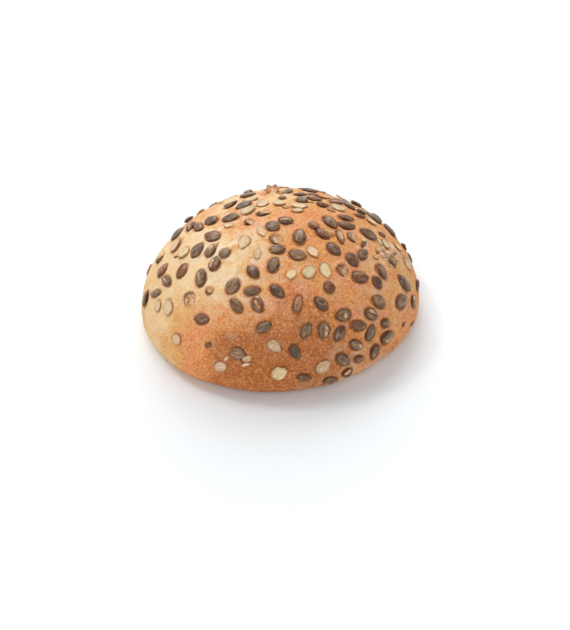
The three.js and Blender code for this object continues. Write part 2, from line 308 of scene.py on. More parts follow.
def facing_seat(kind, right, up, turn, length, width, tone):
    """A seat for a seed that is seen at a spot of the facing plane, with its true size."""
    heading = np.array([math.cos(math.radians(turn)), math.sin(math.radians(turn))])
    right, up, length, width = (value * MM for value in (right, up, length, width))
    point = crust_seen_at(right, up)
    normal = outward(point[None])[0]
    ahead = crust_seen_at(right + heading[0] * MM / 2, up + heading[1] * MM / 2)
    behind = crust_seen_at(right - heading[0] * MM / 2, up - heading[1] * MM / 2)
    step = ahead - behind
    stretch = np.linalg.norm(step) / MM
    along = step - normal * (step @ normal)
    along /= np.linalg.norm(along)
    across = np.cross(normal, along)
    seen = np.array([across @ FACING_RIGHT, across @ FACING_UP])
    showing = max(LEAST_SHOWING, abs(seen[0] * heading[1] - seen[1] * heading[0]))
    length = min(length * min(stretch, MOST_STRETCH), LONGEST) * TRUE_SIZE
    if kind not in ("chip", "crumb"):
        standing = USUAL_WIDTH * MAKES[kind].thickness * math.sqrt(1 - min(showing, 1) ** 2)
        width = math.sqrt(max(width**2 - standing**2, 0)) / showing
        width = min(max(width * TRUE_SIZE, NARROWEST), WIDEST, ROUNDEST * length)
    point = point + normal * (MAKES[kind].lift * MM + lumps_at(point))
    return Seat(kind, point, normal, along, length, width, thickness_of(kind, width), tone)


# How much further out than its node a visible seed sits.
NODE_LIFT = 0.3 * MM


def node_seat(name, kind, tone):
    """The seat of a seed of the solid model, read from where its node lies."""
    points = np.array([v.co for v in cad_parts[name].data.vertices], float)
    points = np.unique(np.round(points, 7), axis=0)
    middle = points.mean(axis=0)
    spread = points - middle
    axes = np.linalg.eigh(spread.T @ spread)[1]
    normal, across, along = axes[:, 0], axes[:, 1], axes[:, 2]
    if normal @ (middle - CENTRE - np.array([0, 0, 0.2 * HEIGHT])) < 0:
        normal = -normal
    ahead = spread @ along > 0
    if np.abs(spread[ahead] @ across).mean() > np.abs(spread[~ahead] @ across).mean():
        along = -along
    length, width = np.ptp(spread @ along) * TRUE_SIZE, np.ptp(spread @ across) * TRUE_SIZE
    point = middle + normal * (lumps_at(middle) + NODE_LIFT)
    return Seat(kind, point, normal, along, length, width, thickness_of(kind, width), tone)


# The tones of the solid model's seeds, in the order of their numbers.
# These tones were matched to how light or dark each seed looks where it lies, so they carry painted
# light and shade as well as the seeds' own colours.
NODE_TONES = {
    "whole_seed": "ogggdrboogdglbdgoogbdbdgdbbdbgdodgbg",
    "far_seed": "gobdggrobgdg",
    "burst_seed": ("bl", "oc", "gh", "gl", "lc"),
    "split_kernel": "pppkkk",
}
NODE_KINDS = {
    "whole_seed": "whole",
    "far_seed": "whole",
    "burst_seed": "burst",
    "split_kernel": "kernel",
}


def node_seats():
    """The seat of every seed node, by the node's name."""
    seats = {}
    for name in sorted(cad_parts):
        row = name[:-3]
        if row in NODE_KINDS:
            tone = NODE_TONES[row][int(name[-2:]) - 1]
            seats[name] = node_seat(name, NODE_KINDS[row], tone)
    return seats


# Where the skin of a burst seed is open, by letter: slit, crack, left of the way that it points,
# right of it, round hole, and tip. In shares of its half length and half width these are the
# middle of the opening along and across the seed, and its reach both ways.
OPENINGS = {
    "s": (0.0, 0.05, 0.7, 0.3),
    "c": (0.1, 0.08, 0.55, 0.19),
    "l": (0.05, 0.36, 0.72, 0.42),
    "r": (0.05, -0.36, 0.72, 0.42),
    "h": (-0.1, 0.05, 0.4, 0.5),
    "t": (0.55, 0.0, 0.62, 0.48),
}

FAR_SPACING = 10.5 * MM
FAR_TRIES = 6500
# How far past the sides the strewn bearings go, and the shares of the way up that they cover.
FAR_OVERLAP = 0.35
FAR_UP = (0.21, 0.97)
# The lengths in mm that strewn seeds may have, their widths as shares of that, and how much of its
# length a broken one has left.
FAR_LENGTHS = (10.5, 13.5)
FAR_WIDTHS = (0.55, 0.68)
BROKEN_LENGTH = 0.75
# How far the crust must face away before a seed on it, or a thin kernel, is out of the front view.
HIDDEN_BEYOND, THIN_HIDDEN_BEYOND = -0.25, -0.12
# Up on the crown, seeds may stand out a little over the skyline.
CROWN_FROM, CROWN_EASE = 0.36, 0.55
FAR_KINDS = ("whole",) * 11 + ("burst",) * 3 + ("broken",) * 2 + ("kernel",) * 5
FAR_TONES = "gggloobbrdd"


def far_seats(taken):
    """Seats strewn over the side that faces away, clear of each other and of those taken."""
    rng = random.Random(7)
    eye = CENTRE + FACING_BACK * EYE_DISTANCE
    spots = [seat.point for seat in taken]
    seats = []
    for _ in range(FAR_TRIES):
        bearing = rng.uniform(-FAR_OVERLAP, math.pi + FAR_OVERLAP)
        along = rng.uniform(*FAR_UP)
        turn = rng.uniform(0, 2 * math.pi)
        kind = rng.choice(FAR_KINDS)
        tone = rng.choice(FAR_TONES) if kind != "kernel" else "p"
        opening = rng.choice(list(OPENINGS)) if kind == "burst" else ""
        length = rng.uniform(*FAR_LENGTHS) * MM
        point = crust_points(np.array([bearing]), np.array([along]))[0]
        normal = outward(point[None])[0]
        limit = THIN_HIDDEN_BEYOND if kind == "kernel" else HIDDEN_BEYOND
        if along > CROWN_FROM:
            limit *= CROWN_EASE
        hidden = normal @ (eye - point) / EYE_DISTANCE < limit
        clear = min(np.linalg.norm(point - spot) for spot in spots) > FAR_SPACING
        if not (hidden and clear):
            continue
        level = np.cross([0, 0, 1], normal)
        level /= np.linalg.norm(level)
        heading = level * math.cos(turn) + np.cross(normal, level) * math.sin(turn)
        width = length * rng.uniform(*FAR_WIDTHS)
        if kind == "broken":
            length *= BROKEN_LENGTH
        spots.append(point)
        place = point + normal * (MAKES[kind].lift * MM + lumps_at(point))
        thickness = thickness_of(kind, width)
        seats.append(Seat(kind, place, normal, heading, length, width, thickness, tone + opening))
    return seats


def husk_seats():
    """The petals of the open husk, fanned out round its spot."""
    root = crust_seen_at(HUSK_SPOT[0] * MM, HUSK_SPOT[1] * MM)
    up = outward(root[None])[0]
    side = np.cross(up, [0, 1, 0])
    side /= np.linalg.norm(side)
    seats = []
    for turn, length, width, lean, tone in HUSK_PETALS:
        turn, lean = math.radians(turn), math.radians(lean)
        level = side * math.cos(turn) + np.cross(up, side) * math.sin(turn)
        along = level * math.sin(lean) + up * math.cos(lean)
        normal = up * math.sin(lean) - level * math.cos(lean)
        middle = root + along * length * MM * PETAL_MIDDLE
        size = np.array([length, width, width * MAKES["husk"].thickness]) * MM
        seats.append(Seat("husk", middle, normal, along, *size, tone))
    return seats


def loose_seats():
    """The seats of all seeds that are not in the solid model, by kind."""
    rows = {
        "whole": WHOLE_SEEDS,
        "burst": BURST_SEEDS,
        "broken": BROKEN_SEEDS,
        "kernel": SPLIT_KERNELS,
        "chip": CHIPS,
        "crumb": CRUMBS,
    }
    seats = {kind: [facing_seat(kind, *row) for row in rows[kind]] for kind in rows}
    seats["husk"] = husk_seats()
    taken = [seat for row in seats.values() for seat in row] + list(NODE_SEATS.values())
    for seat in far_seats(taken):
        seats["far_" + seat.kind] = seats.get("far_" + seat.kind, []) + [seat]
    return seats


NODE_SEATS = node_seats()
LOOSE_SEATS = loose_seats()
SWELLING_SEATS = [facing_seat("chip", *row, "b") for row in SWELLINGS]


# ---------------------------------------------------------------------------
# Settings
# ---------------------------------------------------------------------------
def colour_setting(name, description, default):
    """A colour that a user can change."""
    return bpy.props.FloatVectorProperty(
        name=name, description=description, default=default, size=3, min=0, max=1, subtype="COLOR"
    )


def length_setting(name, description, default, highest):
    """A length that a user can change."""
    return bpy.props.FloatProperty(
        name=name, description=description, default=default, min=0, max=highest, unit="LENGTH"
    )


def strength_setting(name, description, default):
    """The strength of a light."""
    return bpy.props.FloatProperty(name=name, description=description, default=default, min=0)


class CrustSettings(bpy.types.PropertyGroup):
    """Sizes and colours of the baked crust."""

    collar_height: length_setting(
        "Collar height", "How far dough rises round a seed", 0.55 * MM, 3 * MM
    )
    collar_width: length_setting(
        "Collar width", "How far that rise reaches", 1.5 * MM, 10 * MM
    )
    groove_depth: length_setting(
        "Groove depth", "The gap that baking opens along a seed", 0.45 * MM, 3 * MM
    )
    socket_depth: length_setting(
        "Socket depth", "How deep the dough gives under a seed", 0.5 * MM, 3 * MM
    )
    cream: colour_setting("Cream", "Palest crust, under flour", (0.92, 0.64, 0.34))
    golden: colour_setting("Golden", "Lightly baked crust", (0.84, 0.46, 0.165))
    amber: colour_setting("Amber", "Crust of the sides", (0.80, 0.30, 0.082))
    russet: colour_setting("Russet", "Darkest patches low on the loaf", (0.48, 0.145, 0.04))
    flour: colour_setting("Flour", "Flour left on the crust", (0.93, 0.74, 0.52))
    rosy: colour_setting("Rosy", "Reddish patches", (0.86, 0.30, 0.15))
    scorch: colour_setting("Scorch", "Darkest specks of the crust", (0.26, 0.07, 0.022))
    underside: colour_setting("Underside", "Baked base", (0.34, 0.15, 0.06))


class SeedSettings(bpy.types.PropertyGroup):
    """Colours of the seeds."""

    olive: colour_setting("Olive", "Olive skins", (0.15, 0.0911, 0.0299))
    grey: colour_setting("Grey", "Grey skins", (0.172, 0.0967, 0.0456))
    light: colour_setting("Light grey", "Pale grey skins", (0.255, 0.158, 0.0813))
    brown: colour_setting("Brown", "Brown skins", (0.165, 0.0698, 0.0274))
    red: colour_setting("Red-brown", "Scorched skins", (0.215, 0.0688, 0.0232))
    dark: colour_setting("Dark", "Darkest skins", (0.095, 0.0484, 0.0224))
    floury: colour_setting("Floury", "Skins half under dough", (0.34, 0.191, 0.104))
    # The pale papery layer stands for sheen as well, a painted highlight; the dark colour below it
    # paints shade in creases, on rims and undersides as well as scorching.
    sheen_film: colour_setting("Film", "Papery film on the skins", (0.5, 0.326, 0.183))
    char: colour_setting("Char", "Scorched edges and creases", (0.07, 0.03, 0.015))
    tan: colour_setting("Tan", "Dry husk", (0.55, 0.24, 0.10))
    kernel: colour_setting("Kernel", "Cut face of a split kernel", (0.76, 0.54, 0.31))
    toasted: colour_setting("Toasted kernel", "Cut face of a toasted kernel", (0.66, 0.44, 0.25))
    pith: colour_setting("Pith", "Palest parts of a kernel", (0.86, 0.72, 0.50))
    flesh: colour_setting("Flesh", "Inside of a burst seed", (0.70, 0.36, 0.15))
    # The rim colour darkens the kernels' edges and undersides, partly toasting and partly painted
    # shade, and the darker flecks of seed flesh.
    rim: colour_setting("Rim", "Thin toasted rim of a kernel", (0.30, 0.14, 0.055))


class StageSettings(bpy.types.PropertyGroup):
    """The floor, the lights and the viewpoint."""

    view_distance: length_setting(
        "View distance", "From the loaf to the viewpoint", EYE_DISTANCE, 5
    )
    view_rise: bpy.props.FloatProperty(
        name="View rise",
        description="Height of the viewpoint as an angle",
        default=EYE_RISE,
        unit="ROTATION",
    )
    lens: bpy.props.FloatProperty(
        name="Lens", description="Focal length", default=EYE_LENS, unit="CAMERA"
    )
    floor: colour_setting("Floor", "Plain pale floor", (0.905, 0.94, 0.965))
    sky_strength: strength_setting("Sky strength", "The even light from all round", 0.37)
    back_strength: strength_setting("Back strength", "The low soft light behind the loaf", 1.38)
    side_strength: strength_setting("Side strength", "The high soft light behind on the left", 0.86)
    glint_strength: strength_setting("Glint strength", "The small light on the seeds' gloss", 0.32)
    front_strength: strength_setting("Front strength", "The soft light from in front", 1.0)


# ---------------------------------------------------------------------------
# Shader nodes
# ---------------------------------------------------------------------------
def add_node(tree, kind, settings=None, **sockets):
    """Adds a node, sets its properties and then its sockets by name."""
    made = tree.nodes.new(kind)
    for key, value in (settings or {}).items():
        setattr(made, key, value)
    for key, value in sockets.items():
        made.inputs[key.replace("_", " ")].default_value = value
    return made


def mix_colours(tree, share, first, second):
    """Mixes two colours by a share. Each may be a socket or a plain value."""
    made = add_node(tree, "ShaderNodeMix", {"data_type": "RGBA"})
    for index, value in ((0, share), (6, first), (7, second)):
        if isinstance(value, bpy.types.NodeSocket):
            tree.links.new(value, made.inputs[index])
        elif index == 0:
            made.inputs[0].default_value = value
        else:
            made.inputs[index].default_value = (*value, 1)
    return made.outputs[2]


def calculate(tree, operation, *values):
    """A Math node. Each value may be a socket or a number."""
    made = add_node(tree, "ShaderNodeMath", {"operation": operation})
    for index, value in enumerate(values):
        if isinstance(value, bpy.types.NodeSocket):
            tree.links.new(value, made.inputs[index])
        else:
            made.inputs[index].default_value = value
    return made.outputs[0]


def between(tree, value, low, high):
    """0 below low, 1 above high, with a smooth change between them."""
    smooth = {"interpolation_type": "SMOOTHSTEP"}
    made = add_node(tree, "ShaderNodeMapRange", smooth, From_Min=low, From_Max=high)
    tree.links.new(value, made.inputs["Value"])
    return made.outputs["Result"]


def tint(tree, colour, toward, value, low, high, strength=1):
    """Draws a colour towards another, more and more as a value goes from low to high."""
    share = between(tree, value, low, high)
    if strength != 1:
        share = calculate(tree, "MULTIPLY", share, strength)
    return mix_colours(tree, share, colour, toward)


# Irregular patterns of the materials: waves per metre, detail, roughness and distortion.
PATTERNS = {
    "bake patches": (24, 3, 0.6, 0.5),
    "bake blotches": (95, 4, 0.68, 0.5),
    "rosy patches": (48, 4, 0.65, 0.6),
    "flour streaks": (120, 6, 0.72, 0.5),
    "crust pores": (300, 5, 0.65, 0.0),
    "skin cloud": (230, 3, 0.6, 0.6),
    "skin streaks": (520, 3, 0.6, 0.5),
    "skin speckle": (1300, 3, 0.6, 0.3),
    "worn edges": (180, 2, 0.55, 0.0),
    "flesh cloud": (420, 3, 0.65, 0.5),
    "kernel streaks": (700, 3, 0.6, 0.3),
    "toasted rims": (130, 2, 0.55, 0.0),
}


def pattern(tree, name, place):
    """The value of one of the patterns at a place."""
    scale, detail, roughness, distortion = PATTERNS[name]
    made = add_node(tree, "ShaderNodeTexNoise", Scale=scale, Detail=detail)
    made.inputs["Roughness"].default_value = roughness
    made.inputs["Distortion"].default_value = distortion
    tree.links.new(place, made.inputs["Vector"])
    return made.outputs["Fac"]


def node_group(name, inputs, outputs, build):
    """A node group with named float or colour sockets, built once."""
    if name in bpy.data.node_groups:
        return bpy.data.node_groups[name]
    group = bpy.data.node_groups.new(name, "ShaderNodeTree")
    for title, kind, default in inputs:
        socket = group.interface.new_socket(title, in_out="INPUT", socket_type=kind)
        if default is not None:
            socket.default_value = default
    for title, kind in outputs:
        group.interface.new_socket(title, in_out="OUTPUT", socket_type=kind)
    start = group.nodes.new("NodeGroupInput")
    end = group.nodes.new("NodeGroupOutput")
    build(group, start.outputs, end.inputs)
    return group


def use_group(tree, group, links=None, **values):
    """Places a group in a tree with its own values and links."""
    made = tree.nodes.new("ShaderNodeGroup")
    made.node_tree = group
    for key, value in values.items():
        made.inputs[key].default_value = value
    for key, socket in (links or {}).items():
        tree.links.new(socket, made.inputs[key])
    return made


def grain_group():
    """Fine grain: a light and dark speckle and a height that follows it."""

    def build(tree, start, end):
        coarse = add_node(tree, "ShaderNodeTexNoise", Detail=3.0, Roughness=0.65)
        fine = add_node(tree, "ShaderNodeTexNoise", Detail=2.0, Roughness=0.6)
        finer = calculate(tree, "MULTIPLY", start["Scale"], 2.3)
        tree.links.new(start["Place"], coarse.inputs["Vector"])
        tree.links.new(start["Place"], fine.inputs["Vector"])
        tree.links.new(start["Scale"], coarse.inputs["Scale"])
        tree.links.new(finer, fine.inputs["Scale"])
        share = calculate(tree, "MULTIPLY", coarse.outputs["Fac"], 0.6)
        speckle = calculate(tree, "MULTIPLY_ADD", fine.outputs["Fac"], 0.4, share)
        tree.links.new(between(tree, speckle, 0.52, 0.61), end["Light"])
        tree.links.new(between(tree, speckle, 0.48, 0.39), end["Dark"])
        tree.links.new(speckle, end["Height"])

    inputs = [("Place", "NodeSocketVector", None), ("Scale", "NodeSocketFloat", 500.0)]
    outputs = [(title, "NodeSocketFloat") for title in ("Light", "Dark", "Height")]
    return node_group("fine grain", inputs, outputs, build)


def new_material(name, roughness, specular):
    """A material with only a Principled shader. Returns it with its tree and shader."""
    material = bpy.data.materials.new(name)
    material.use_nodes = True
    tree = material.node_tree
    shader = tree.nodes["Principled BSDF"]
    shader.inputs["Roughness"].default_value = roughness
    shader.inputs["Specular IOR Level"].default_value = specular
    return material, tree, shader


def object_place(tree):
    """Object coordinates."""
    return add_node(tree, "ShaderNodeTexCoord").outputs["Object"]


def attribute(tree, name, output="Fac"):
    """A value painted on the mesh."""
    return add_node(tree, "ShaderNodeAttribute", {"attribute_name": name}).outputs[output]


def finish_material(material, shader, colour, height, strength, distance):
    """Feeds a material's colour into its shader, and its height as a bump into the normal."""
    tree = material.node_tree
    tree.links.new(colour, shader.inputs["Base Color"])
    bump = add_node(tree, "ShaderNodeBump", Strength=strength, Distance=distance)
    tree.links.new(height, bump.inputs["Height"])
    tree.links.new(bump.outputs["Normal"], shader.inputs["Normal"])
    return material


def crust_material(settings):
    """Baked crust: cream over golden, amber and russet, grained, with flour where it was left. How
    far it goes towards russet also carries painted light and shade: paler on the upper left, darker
    low in front and in rings round the seeds.
    """
    material, tree, shader = new_material("baked crust", 0.75, 0.15)
    place = object_place(tree)
    # The bake value holds real browning together with painted shade low in front and round each
    # seed, and painted light on the upper left.
    bake = attribute(tree, "bake")
    patches = calculate(tree, "SUBTRACT", pattern(tree, "bake patches", place), 0.5)
    blotches = calculate(tree, "SUBTRACT", pattern(tree, "bake blotches", place), 0.5)
    baked = calculate(tree, "MULTIPLY_ADD", patches, 0.8, bake)
    baked = calculate(tree, "MULTIPLY_ADD", blotches, 0.7, baked)
    pale = tint(tree, settings.cream, settings.golden, baked, 0.0, 0.32)
    colour = tint(tree, pale, settings.amber, baked, 0.2, 0.62)
    rosy = between(tree, pattern(tree, "rosy patches", place), 0.45, 0.62)
    rosy = calculate(tree, "MULTIPLY", rosy, between(tree, bake, 0.1, 0.6))
    rosy = calculate(tree, "MULTIPLY", rosy, between(tree, bake, 1.3, 0.7))
    rosy = calculate(tree, "MULTIPLY", rosy, 0.75)
    colour = mix_colours(tree, rosy, colour, settings.rosy)
    colour = tint(tree, colour, settings.russet, baked, 0.62, 1.15)
    grain = use_group(tree, grain_group(), {"Place": place}, Scale=640.0)
    fading = calculate(tree, "MULTIPLY_ADD", between(tree, baked, 0.5, 1.1), -0.4, 1.0)
    light = calculate(tree, "MULTIPLY", grain.outputs["Light"], fading)
    depth = calculate(tree, "MULTIPLY_ADD", between(tree, baked, 0.0, 0.5), 0.34, 0.32)
    dark = calculate(tree, "MULTIPLY", grain.outputs["Dark"], depth)
    specks = mix_colours(tree, 0.4, pale, settings.cream)
    specks = tint(tree, specks, settings.golden, baked, 0.4, 1.0)
    colour = mix_colours(tree, light, colour, specks)
    toasted = tint(tree, settings.russet, settings.scorch, baked, 0.4, 0.9)
    colour = mix_colours(tree, dark, colour, toasted)
    streaks = between(tree, pattern(tree, "flour streaks", place), 0.38, 0.62)
    dust = calculate(tree, "MULTIPLY", attribute(tree, "flour"), streaks)
    colour = mix_colours(tree, dust, colour, settings.flour)
    colour = mix_colours(tree, attribute(tree, "underside"), colour, settings.underside)
    pores = pattern(tree, "crust pores", place)
    height = calculate(tree, "MULTIPLY_ADD", pores, 1.4, grain.outputs["Height"])
    return finish_material(material, shader, colour, height, 0.75, MM)


def skin_material(settings):
    """Satin roasted seed skin, streaked lengthways. Its tone is painted on each seed. Its pale
    patches and ridges are partly a papery layer and partly painted sheen, and its dark creases, rim
    and underside are partly scorching and partly painted shade.
    """
    material, tree, shader = new_material("seed skin", 0.35, 0.5)
    lay = attribute(tree, "lay", "Vector")
    streaks = pattern(tree, "skin streaks", lay)
    speckle = pattern(tree, "skin speckle", object_place(tree))
    colour = attribute(tree, "tone", "Color")
    cloud = pattern(tree, "skin cloud", lay)
    # Pale patches and the ridges of the streaks: partly a papery layer, partly painted sheen.
    colour = tint(tree, colour, settings.sheen_film, cloud, 0.47, 0.62, 0.45)
    colour = tint(tree, colour, settings.sheen_film, streaks, 0.53, 0.66, 0.42)
    # Dark in the valleys of the streaks: partly scorching, partly painted shade in the creases.
    colour = tint(tree, colour, settings.char, streaks, 0.47, 0.34, 0.72)
    colour = tint(tree, colour, settings.char, speckle, 0.48, 0.34, 0.5)
    # Dark rims and undersides, broken up by noise: partly scorching, partly painted shade where the
    # seed meets the crust.
    patchy = between(tree, pattern(tree, "worn edges", lay), 0.3, 0.5)
    edge = calculate(tree, "MULTIPLY", attribute(tree, "edge"), patchy)
    colour = mix_colours(tree, calculate(tree, "MULTIPLY", edge, 0.9), colour, settings.char)
    rough = calculate(tree, "MULTIPLY_ADD", speckle, 0.3, 0.17)
    rough = calculate(tree, "MULTIPLY_ADD", edge, 0.35, rough)
    tree.links.new(rough, shader.inputs["Roughness"])
    height = calculate(tree, "MULTIPLY_ADD", speckle, 0.25, streaks)
    return finish_material(material, shader, colour, height, 0.8, 0.7 * MM)


def flesh_material(settings):
    """The tan inside of a burst or broken seed."""
    material, tree, shader = new_material("seed flesh", 0.6, 0.35)
    place = object_place(tree)
    grain = use_group(tree, grain_group(), {"Place": place}, Scale=800.0)
    cloud = pattern(tree, "flesh cloud", place)
    colour = tint(tree, settings.flesh, settings.pith, cloud, 0.45, 0.6, 0.5)
    colour = tint(tree, colour, settings.rim, cloud, 0.5, 0.36, 0.75)
    dark = calculate(tree, "MULTIPLY", grain.outputs["Dark"], 0.6)
    colour = mix_colours(tree, dark, colour, settings.rim)
    return finish_material(material, shader, colour, grain.outputs["Height"], 0.4, 0.5 * MM)


def kernel_material(settings):
    """The cream cut face of a split kernel, darker towards its rim and underside: partly a toasted
    rim, partly painted shade along its edge.
    """
    material, tree, shader = new_material("kernel face", 0.6, 0.35)
    place = object_place(tree)
    grain = use_group(tree, grain_group(), {"Place": place}, Scale=700.0)
    streaks = pattern(tree, "kernel streaks", attribute(tree, "lay", "Vector"))
    colour = attribute(tree, "tone", "Color")
    colour = tint(tree, colour, settings.pith, streaks, 0.5, 0.64, 0.6)
    colour = tint(tree, colour, settings.rim, streaks, 0.45, 0.34, 0.25)
    # The rim and underside go darker: partly toasting, partly painted shade where the flake meets
    # the crust.
    toasted = between(tree, pattern(tree, "toasted rims", place), 0.3, 0.55)
    rim = calculate(tree, "MULTIPLY", attribute(tree, "edge"), toasted)
    colour = mix_colours(tree, calculate(tree, "MULTIPLY", rim, 0.7), colour, settings.rim)
    height = calculate(tree, "ADD", streaks, grain.outputs["Height"])
    return finish_material(material, shader, colour, height, 0.4, 0.5 * MM)


def floor_material(settings):
    """A plain pale floor."""
    material, _, shader = new_material("pale floor", 0.9, 0.0)
    shader.inputs["Base Color"].default_value = (*settings.floor, 1)
    return material


# ---------------------------------------------------------------------------
# Modelling helpers
# ---------------------------------------------------------------------------
def deselect_all():
    """Leaves edit mode and deselects everything."""
    if bpy.context.object and bpy.context.object.mode != "OBJECT":
        bpy.ops.object.mode_set(mode="OBJECT")
    bpy.ops.object.select_all(action="DESELECT")


def open_piece(name):
    """Names the new primitive and opens it in edit mode, selected all over."""
    piece = bpy.context.object
    piece.name = name
    bpy.ops.object.mode_set(mode="EDIT")
    bpy.ops.mesh.select_all(action="SELECT")
    return piece


def pick(piece, kind, test):
    """In edit mode, selects only the elements whose middle and normal pass the test."""
    mesh = bmesh.from_edit_mesh(piece.data)
    bpy.ops.mesh.select_all(action="DESELECT")
    bpy.ops.mesh.select_mode(type=kind)
    if kind == "VERT":
        for vert in mesh.verts:
            vert.select = bool(test(vert.co, vert.normal))
    else:
        for face in mesh.faces:
            face.select = bool(test(face.calc_center_median(), face.normal))
    mesh.select_flush_mode()
    bmesh.update_edit_mesh(piece.data)


def resize_picked(x, y, z, centre=(0, 0, 0)):
    """Scales the selection about a point."""
    bpy.ops.transform.resize(value=(x, y, z), center_override=centre)


def move_picked(x, y, z):
    """Moves the selection."""
    bpy.ops.transform.translate(value=(x, y, z))


def mesh_points(mesh):
    """The mesh's vertices as an array."""
    points = np.empty(len(mesh.vertices) * 3, np.float32)
    mesh.vertices.foreach_get("co", points)
    return points.reshape(-1, 3).astype(float)


def set_points(mesh, points):
    """Moves the mesh's vertices."""
    mesh.vertices.foreach_set("co", points.astype(np.float32).ravel())
    mesh.update()


def paint(mesh, name, values, kind="FLOAT", field="value"):
    """Stores a number, or a row of numbers, for each vertex."""
    layer = mesh.attributes.new(name, kind, "POINT")
    layer.data.foreach_set(field, values.astype(np.float32).ravel())


# ---------------------------------------------------------------------------
# Crust
# ---------------------------------------------------------------------------
CRUST_CUTS = 89
# How far past a seed's end the dough still follows it, and how much narrower its tip is.
OUTLINE_REACH, OUTLINE_TAPER = 7 * MM, 0.2
# How uneven collars and grooves are, and how much of them the small kinds have.
RELIEF_SPREAD = (0.3, 1.2)
SMALL_KINDS = ("kernel", "chip", "crumb")
SMALL_RELIEF = 0.45
# The crest of a collar as a share of its width, and how steeply it falls off.
COLLAR_CREST, COLLAR_FALL = 0.7, 1.6
GROOVE_WIDTH = 0.55 * MM
# The ring of painted shade round a seed, where its contact shadow falls on the crust, and the halo
# of flour:
# its width, where it starts against the outline, and how seldom it is thick.
SHADE_RING_WIDTH, HALO_WIDTH, HALO_START = 0.75 * MM, 1.9 * MM, -0.5 * MM
HALO_RARITY = 1.6
# A swelling's rise and the softness of its edge as shares of its width, the most that it may rise,
# and the flour on its edge.
SWELLING_RISE, SWELLING_EDGE = 0.3, 0.09
HIGHEST_SWELLING = 1.1 * MM
SWELLING_FLOUR = 0.4
# The height over which the crust's unevenness fades out at the foot.
FOOT_FADE = 4 * MM
# The underside's inner rim against its outer one, how far it is hollowed, and its painted edge.
INNER_RIM = 0.93
UNDERSIDE_HOLLOW, UNDERSIDE_EDGE = 0.6 * MM, 1.2 * MM


def crust_cage():
    """Half a cube, open below and finely divided: the raw sheet that the crust is drawn from."""
    deselect_all()
    bpy.ops.mesh.primitive_cube_add(size=2)
    cage = open_piece("crust")
    bpy.ops.mesh.subdivide(number_cuts=1)
    pick(cage, "FACE", lambda middle, normal: middle.z < 0)
    bpy.ops.mesh.delete(type="FACE")
    bpy.ops.mesh.select_all(action="SELECT")
    bpy.ops.mesh.subdivide(number_cuts=CRUST_CUTS)
    bpy.ops.object.mode_set(mode="OBJECT")
    return cage


def drawn_over(cage_points):
    """Maps the cage onto the loaf: its bearing and its share of the way up the side."""
    spread = np.tan(cage_points * math.pi / 4)
    spread /= np.linalg.norm(spread, axis=1, keepdims=True)
    bearing = np.arctan2(spread[:, 1], spread[:, 0])
    along = np.arcsin(np.clip(spread[:, 2], 0, 1)) / (math.pi / 2)
    return bearing, along


def from_outline(points, seat):
    """How far points are outside a seed's outline, and which of them are near enough to matter."""
    across = np.cross(seat.normal, seat.along)
    rel = points - seat.point
    near = np.einsum("ij,ij->i", rel, rel) < (seat.length / 2 + OUTLINE_REACH) ** 2
    u = rel[near] @ seat.along
    v = rel[near] @ across
    a, b = seat.length / 2, seat.width / 2
    b = b * (1 - OUTLINE_TAPER * np.clip(u / a, -1, 1))
    form = (u / a) ** 2 + (v / b) ** 2 - 1
    slope = 2 * np.sqrt(u**2 / a**4 + v**2 / b**4) + 1e-9
    return near, form / slope


def hump(value, middle, width):
    """1 at the middle, falling off smoothly to both sides."""
    return np.exp(-(((value - middle) / width) ** 2))


def seed_relief(points, settings):
    """Dough round every seed: a socket, a groove, a collar, a halo of flour, and a ring of painted
    shade where the seed's contact shadow falls.
    """
    rng = random.Random(3)
    relief, flour, toasted = np.zeros((3, len(points)))
    for seat in [*NODE_SEATS.values(), *(seat for row in LOOSE_SEATS.values() for seat in row)]:
        near, away = from_outline(points, seat)
        size = SMALL_RELIEF if seat.kind in SMALL_KINDS else 1.0
        collar = settings.collar_height * rng.uniform(*RELIEF_SPREAD) * size
        groove = settings.groove_depth * rng.uniform(*RELIEF_SPREAD) * size
        dusting = rng.uniform(0, 1) ** HALO_RARITY
        past = np.clip(away, 0, None)
        crest = (past / settings.collar_width - COLLAR_CREST) ** 2
        rise = collar * np.exp(-crest * COLLAR_FALL) * (away > 0)
        gap = groove * hump(past, 0, GROOVE_WIDTH)
        socket = settings.socket_depth * size * np.clip(-away / MM, 0, 1)
        relief[near] += np.where(away > 0, rise - gap, -groove - socket)
        halo = dusting * np.exp(-past / HALO_WIDTH) * (away > HALO_START)
        flour[near] = np.maximum(flour[near], halo)
        # toasted here is painted shade: a dark ring round the seed that stands for its contact
        # shadow on the crust.
        toasted[near] = np.maximum(toasted[near], size * hump(past, 0, SHADE_RING_WIDTH))
    for seat in SWELLING_SEATS:
        near, away = from_outline(points, seat)
        rise = min(HIGHEST_SWELLING, SWELLING_RISE * seat.width)
        relief[near] += rise / (1 + np.exp(away / (SWELLING_EDGE * seat.width)))
        flour[near] += SWELLING_FLOUR * hump(away, 0, MM)
    return relief, flour, toasted


def smooth_step(value, low, high):
    """0 below low, 1 above high, smooth between them."""
    share = np.clip((value - low) / (high - low), 0, 1)
    return share * share * (3 - 2 * share)


def loaf_shares(points):
    """Where points are on the loaf: right and back of its middle in radii, and up in heights."""
    x, y, z = (points - CENTRE).T
    return x / RADIUS, y / RADIUS, z / HEIGHT


